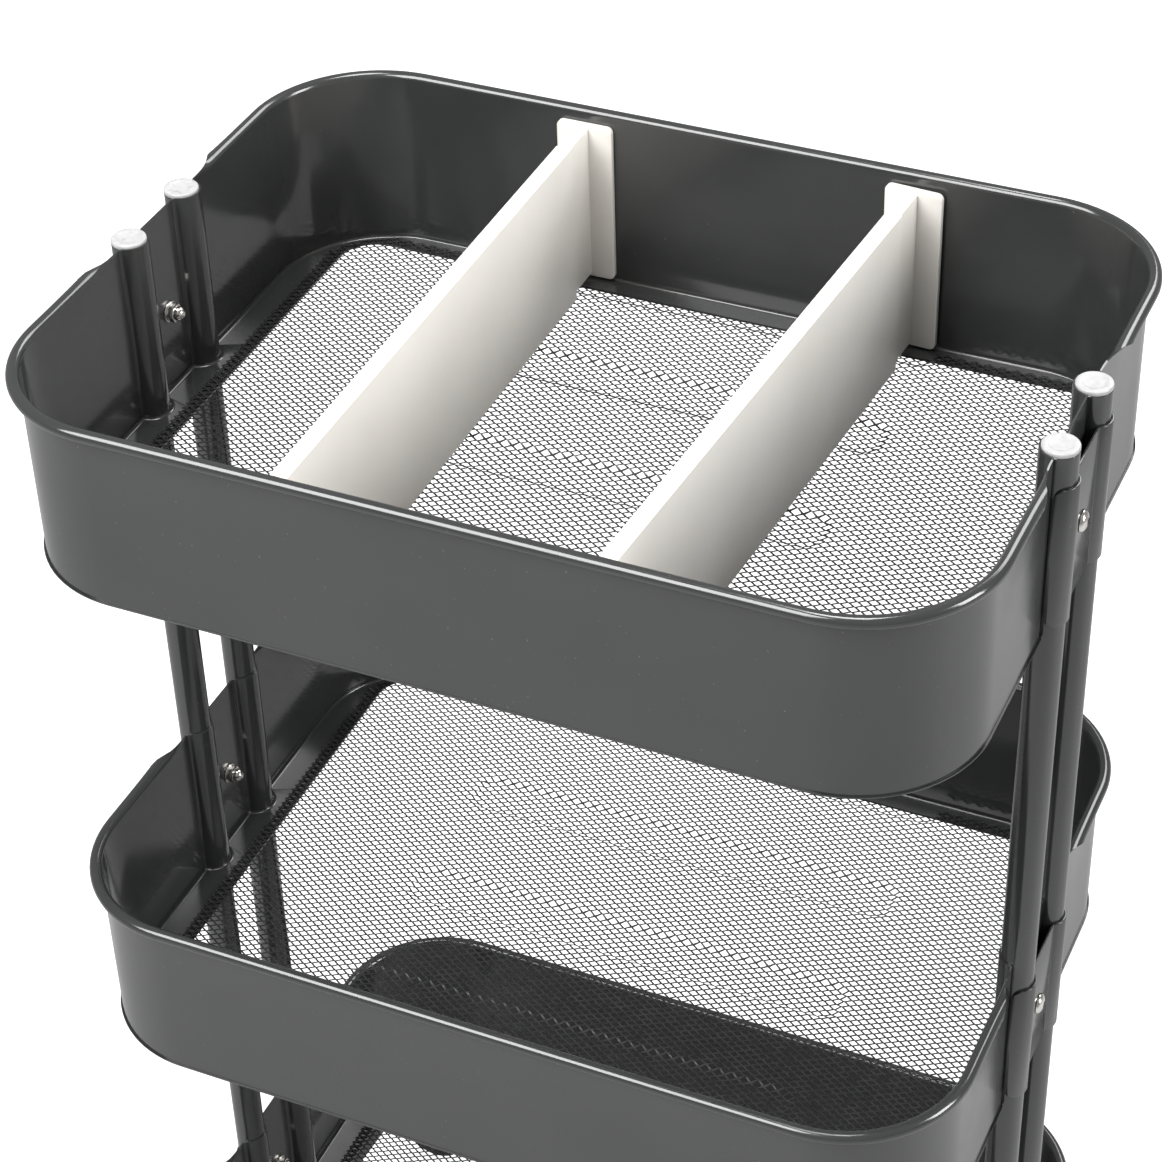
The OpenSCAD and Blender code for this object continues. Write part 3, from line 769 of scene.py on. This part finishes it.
def caster(corner, finishes):
    """A swivel caster: stem with its flange, pressed fork, riveted axle, hub and tyre."""
    side = CORNERS[corner][0]
    foot = middle("caster_stem_" + corner)
    axle = middle("caster_axle_" + corner)
    low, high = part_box("caster_stem_" + corner)
    flange_r = (high.x - low.x) / 2
    crown_low, crown_t, fork_t = WHEEL_R * 2 + 4 * MM, 3 * MM, 2 * MM
    flange_z = crown_low + crown_t + 0.3 * MM
    king_r, stem_r, soft = 4 * MM, 5 * MM, 0.4 * MM

    bm = bmesh.new()
    stem = [(0, low.z), (king_r * 1.2, low.z), (king_r * 1.4, low.z + soft),
            (king_r * 1.4, crown_low - 0.7 * MM),
            (king_r, crown_low - 0.3 * MM), (king_r, flange_z), (flange_r - soft, flange_z),
            (flange_r, flange_z + soft), (flange_r, flange_z + 2.2 * MM),
            (flange_r - soft, flange_z + 2.6 * MM),
            (stem_r, flange_z + 2.6 * MM), (stem_r, high.z - 1 * MM), (stem_r - 1 * MM, high.z), (0, high.z)]
    turned(bm, stem, Matrix.Translation((foot.x, foot.y, 0)), 48)
    piece(bm, f"caster_stem_{corner}_turning", finishes["zinc_steel"], "frame",
          ["caster_stem_" + corner])

    bm = bmesh.new()
    fork_half = extent("caster_fork_" + corner).y / 2
    trail = abs(axle.x - foot.x)
    eye_r = 6 * MM
    for cheek in (-1, 1):
        y = cheek * (fork_half - fork_t / 2)
        vert = bmesh.ops.create_vert(bm, co=(-trail - eye_r, y, WHEEL_R))["vert"][0]
        first = vert
        vert = arc_to(bm, vert, (-trail, y, WHEEL_R), -math.pi, 14, (0, 1, 0))
        vert = line_to(bm, vert, (king_r * 2, y, crown_low))
        vert = line_to(bm, vert, (king_r * 2, y, crown_low + crown_t))
        vert = line_to(bm, vert, (-trail, y, crown_low + crown_t))
        vert = line_to(bm, vert, (-trail, y, crown_low))
        outline = [v for v in bm.verts if abs(v.co.y - y) < 0.01 * MM]
        bmesh.ops.contextual_create(bm, geom=[vert, first])
        edges = list({e for v in outline for e in v.link_edges})
        face = bmesh.ops.contextual_create(bm, geom=edges)["faces"]
        solid = bmesh.ops.extrude_face_region(bm, geom=face)["geom"]
        moved = [g for g in solid if isinstance(g, bmesh.types.BMVert)]
        bmesh.ops.translate(bm, vec=(0, fork_t, 0), verts=moved)
        bmesh.ops.translate(bm, vec=(0, -fork_t / 2, 0), verts=outline + moved)
    crown = bmesh.ops.create_cone(bm, cap_ends=True, segments=48, radius1=14 * MM, radius2=14 * MM,
                                  depth=crown_t)["verts"]
    bmesh.ops.translate(bm, vec=(-trail * 0.2, 0, crown_low + crown_t / 2), verts=crown)
    for vert in crown:
        vert.co.y = min(max(vert.co.y, -fork_half), fork_half)
    pad_r, pad_low, pad_high = 6 * MM, crown_t + 0.05 * MM, crown_t + 0.2 * MM
    pad = [(0, pad_low), (pad_r, pad_low), (pad_r, pad_high), (0, pad_high)]
    turned(bm, pad, Matrix.Translation((0, 0, crown_low)), 36)
    bmesh.ops.recalc_face_normals(bm, faces=bm.faces[:])
    bmesh.ops.scale(bm, vec=(side, 1, 1), verts=bm.verts[:])
    if side < 0:
        bmesh.ops.reverse_faces(bm, faces=bm.faces[:])
    bmesh.ops.translate(bm, vec=(foot.x, foot.y, 0), verts=bm.verts[:])
    piece(bm, f"caster_fork_{corner}_pressing", finishes["zinc_steel"], "caster_" + corner,
          ["caster_fork_" + corner], bevel=0.4 * MM)

    across = Matrix.Translation((axle.x, axle.y, WHEEL_R)) @ Matrix.Rotation(math.pi / 2, 4, "X")
    bm = bmesh.new()
    axle_r, half = 3 * MM, extent("caster_axle_" + corner).y / 2
    rivet = [(0, -half)] + [(r, -h) for r, h in reversed(rounded(4.5 * MM, fork_half, 1.5 * MM, half))]
    rivet += [(axle_r, -fork_half), (axle_r, fork_half)]
    rivet += rounded(4.5 * MM, fork_half, 1.5 * MM, half) + [(0, half)]
    turned(bm, rivet, across, 32)
    piece(bm, f"caster_axle_{corner}_rivet", finishes["zinc_steel"], "caster_" + corner,
          ["caster_axle_" + corner])

    bm = bmesh.new()
    hub_half, hub_r = extent("wheel_hub_" + corner).y / 2, extent("wheel_hub_" + corner).z / 2
    web, boss_r, rim_w, bore = hub_half * 0.4, 5.5 * MM, 2 * MM, axle_r + 0.05 * MM
    profile = []
    for h in (-1, 1):
        half_profile = [(bore, h * hub_half), (boss_r - soft, h * hub_half), (boss_r, h * (hub_half - soft)),
                        (boss_r, h * web), (hub_r - rim_w, h * web), (hub_r - rim_w, h * (hub_half - soft)),
                        (hub_r - rim_w + soft, h * hub_half), (hub_r, h * hub_half)]
        profile += half_profile if h < 0 else half_profile[::-1]
    turned(bm, profile, across, 48, closed=True)
    for spoke in range(6):
        rib = block(bm, (hub_r - rim_w - boss_r + 1 * MM, 1.4 * MM, 2 * hub_half - 2.4 * MM),
                    ((hub_r - rim_w + boss_r) / 2, 0, 0))
        bmesh.ops.transform(bm, matrix=across @ Matrix.Rotation(math.tau * spoke / 6, 4, "Z"), verts=rib)
    piece(bm, f"wheel_hub_{corner}_moulding", finishes["hub_plastic"], "wheel_" + corner,
          ["wheel_hub_" + corner])

    bm = bmesh.new()
    tyre_half, shoulder = extent("wheel_tyre_" + corner).y / 2, 2.6 * MM
    groove, groove_y = 0.5 * MM, 2.2 * MM
    left = [(r, -h) for r, h in rounded(WHEEL_R, tyre_half - shoulder, WHEEL_R - shoulder, tyre_half)]
    profile = [(hub_r, -tyre_half)] + left[::-1]
    for y in (-groove_y, groove_y):
        profile += [(WHEEL_R, y - 0.5 * MM), (WHEEL_R - groove, y - 0.2 * MM),
                    (WHEEL_R - groove, y + 0.2 * MM), (WHEEL_R, y + 0.5 * MM)]
    profile += rounded(WHEEL_R, tyre_half - shoulder, WHEEL_R - shoulder, tyre_half) + [(hub_r, tyre_half)]
    turned(bm, profile, across, 72, closed=True)
    piece(bm, f"wheel_tyre_{corner}_tread", finishes["tyre_rubber"], "wheel_" + corner,
          ["wheel_tyre_" + corner])


# ---------------------------------------------------------------- dividers

def end_plate(bm, y):
    """An end plate with rounded corners, its thickness centred on y."""
    verts = block(bm, (PLATE_W, PLATE_T, DIVIDER_H), (0, y, DIVIDER_H / 2))
    edges = {e for v in verts for e in v.link_edges}
    corners = [e for e in edges if abs((e.verts[0].co - e.verts[1].co).y) > PLATE_T / 2]
    bmesh.ops.bevel(bm, geom=corners, offset=PLATE_CORNER, affect="EDGES", segments=6,
                    profile=0.5, material=-1)


def divider(side, finish):
    """A telescopic divider: a hollow sleeve with its end plate, and the slider that runs in it."""
    turn = DIVIDER_TURN[side]
    sleeve_box, slider_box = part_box("divider_sleeve_" + side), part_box("divider_slider_" + side)
    centre_x = (sleeve_box[0].x + sleeve_box[1].x) / 2
    if turn:
        centre_x = (min(sleeve_box[0].x, slider_box[0].x) + max(sleeve_box[1].x, slider_box[1].x)) / 2
    place = Matrix.Translation((centre_x, 0, sleeve_box[0].z)) @ Matrix.Rotation(turn, 4, "Z")
    reach = slider_box[1].y - PLATE_W / 2 * abs(math.sin(turn))
    half = reach / math.cos(turn)
    end = half - PLATE_T - SLIDER_SHOWN

    bm = bmesh.new()
    end_plate(bm, PLATE_T / 2 - half)
    start = PLATE_T / 2 - half
    body = block(bm, (SLEEVE_W, end - start, DIVIDER_H), (0, (start + end) / 2, DIVIDER_H / 2))
    mouth = face_of(body, (0, 1, 0))
    bmesh.ops.inset_region(bm, faces=[mouth], thickness=SLEEVE_WALL, use_even_offset=True)
    bottom = bmesh.ops.extrude_discrete_faces(bm, faces=[mouth])["faces"][0]
    bmesh.ops.translate(bm, vec=(0, start + 2 * PLATE_T - end, 0), verts=bottom.verts[:])
    bmesh.ops.transform(bm, matrix=place, verts=bm.verts[:])
    piece(bm, f"divider_sleeve_{side}_moulding", finish, side + "_divider",
          ["divider_sleeve_" + side], bevel=0.45 * MM)

    bm = bmesh.new()
    end_plate(bm, half - PLATE_T / 2)
    web_w = SLEEVE_W - 2 * SLEEVE_WALL - 2 * SLIDE_GAP
    web_h = DIVIDER_H - 2 * SLEEVE_WALL - 2 * SLIDE_GAP
    web_start = half - PLATE_T - SLIDER_SHOWN - SLIDER_IN
    web_end = half - PLATE_T / 2
    block(bm, (web_w, web_end - web_start, web_h), (0, (web_start + web_end) / 2, DIVIDER_H / 2))
    bmesh.ops.transform(bm, matrix=place, verts=bm.verts[:])
    piece(bm, f"divider_slider_{side}_moulding", finish, side + "_divider_slider",
          ["divider_slider_" + side], bevel=0.45 * MM)


# ---------------------------------------------------------------- camera, floor and light

def camera():
    """The camera, in front of the right-hand end and above the trolley, looking down into it."""
    place = Vector((0.4613, -1.0066, 1.4932))
    yaw, pitch, roll = (math.radians(a) for a in (25.06, 37.869, -1.98))
    ahead = Vector((-math.sin(yaw) * math.cos(pitch), math.cos(yaw) * math.cos(pitch), -math.sin(pitch)))
    level = Vector((math.cos(yaw), math.sin(yaw), 0))
    above = level.cross(ahead)
    right = math.cos(roll) * level + math.sin(roll) * above
    up = math.cos(roll) * above - math.sin(roll) * level
    lens = bpy.data.cameras.new("camera")
    lens.lens = 95.58
    lens.sensor_width = 36
    lens.clip_start = 0.01
    made = bpy.data.objects.new("camera", lens)
    made.matrix_world = Matrix.Translation(place) @ Matrix((right, up, -ahead)).transposed().to_4x4()
    bpy.context.scene.collection.objects.link(made)
    bpy.context.scene.camera = made


def floor():
    """A plain pale floor, wide enough to fill every view."""
    bm = bmesh.new()
    bmesh.ops.create_grid(bm, x_segments=1, y_segments=1, size=12)
    mesh = bpy.data.meshes.new("floor")
    bm.to_mesh(mesh)
    bm.free()
    made = bpy.data.objects.new("floor", mesh)
    made.location.z = -0.2 * MM
    bpy.context.scene.collection.objects.link(made)
    paint = Finish("pale_floor", (0.35, 0.35, 0.35), 0.6)
    paint.roughened(paint.ranged(paint.noise(300 * MM, 2), 0.55, 0.65))
    paint.shader.inputs["Emission Color"].default_value = (1, 1, 1, 1)
    seen = paint.nodes.new("ShaderNodeLightPath").outputs["Is Camera Ray"]
    paint.links.new(paint.ranged(seen, 0.2, 1.05, 0, 1), paint.shader.inputs["Emission Strength"])
    mesh.materials.append(paint.material)


def softbox(name, place, aim, size, power):
    """A large square light at a place, aimed at a point."""
    lamp = bpy.data.lights.new(name, "AREA")
    lamp.shape = "RECTANGLE"
    lamp.size, lamp.size_y = size
    lamp.energy = power
    made = bpy.data.objects.new(name, lamp)
    made.location = place
    made.rotation_euler = (Vector(aim) - Vector(place)).to_track_quat("-Z", "Y").to_euler()
    made.visible_camera = False
    bpy.context.scene.collection.objects.link(made)


def studio():
    """Plain soft studio light: a pale surround, a tall key, one above, one behind, one right."""
    world = bpy.data.worlds.new("studio")
    world.use_nodes = True
    world.node_tree.nodes["Background"].inputs["Color"].default_value = (1, 1, 1, 1)
    world.node_tree.nodes["Background"].inputs["Strength"].default_value = 0.3
    bpy.context.scene.world = world
    bpy.context.scene.view_settings.view_transform = "Standard"
    softbox("key", (-0.85, -1.5, 2.3), (0, 0, 0.7), (1.5, 1.6), 75)
    softbox("overhead", (0, 0, 2.9), (0, 0, 0.6), (0.8, 0.8), 25)
    softbox("behind", (0.45, 2.0, 2.3), (0, 0, 0.7), (1.3, 0.8), 20)
    softbox("right_side", (2.4, 0.2, 1.5), (0, 0, 0.6), (0.8, 1.4), 42)


# ---------------------------------------------------------------- assembly

def build():
    """Makes every piece of the trolley."""
    coat, strands, chrome, plastic = powder_coat(), mesh_coat(), nickel(), divider_plastic()
    caps = cap_plastic()
    caster_finishes = {"zinc_steel": zinc_steel(), "hub_plastic": hub_plastic(),
                       "tyre_rubber": tyre_rubber()}
    for tier in TIERS:
        tray_shell(tier, coat)
        tray_flange(tier, coat)
        mesh_floor(tier, strands)
        bolts(tier, chrome)
        cap_nuts(tier, chrome)
        for side in SIDES:
            clamp(tier, side, coat)
    for corner in CORNERS:
        post(corner, coat)
        post_cap(corner, caps)
        leg(corner, coat)
        caster(corner, caster_finishes)
    for side in SIDES:
        divider(side, plastic)


camera()
floor()
studio()
build()
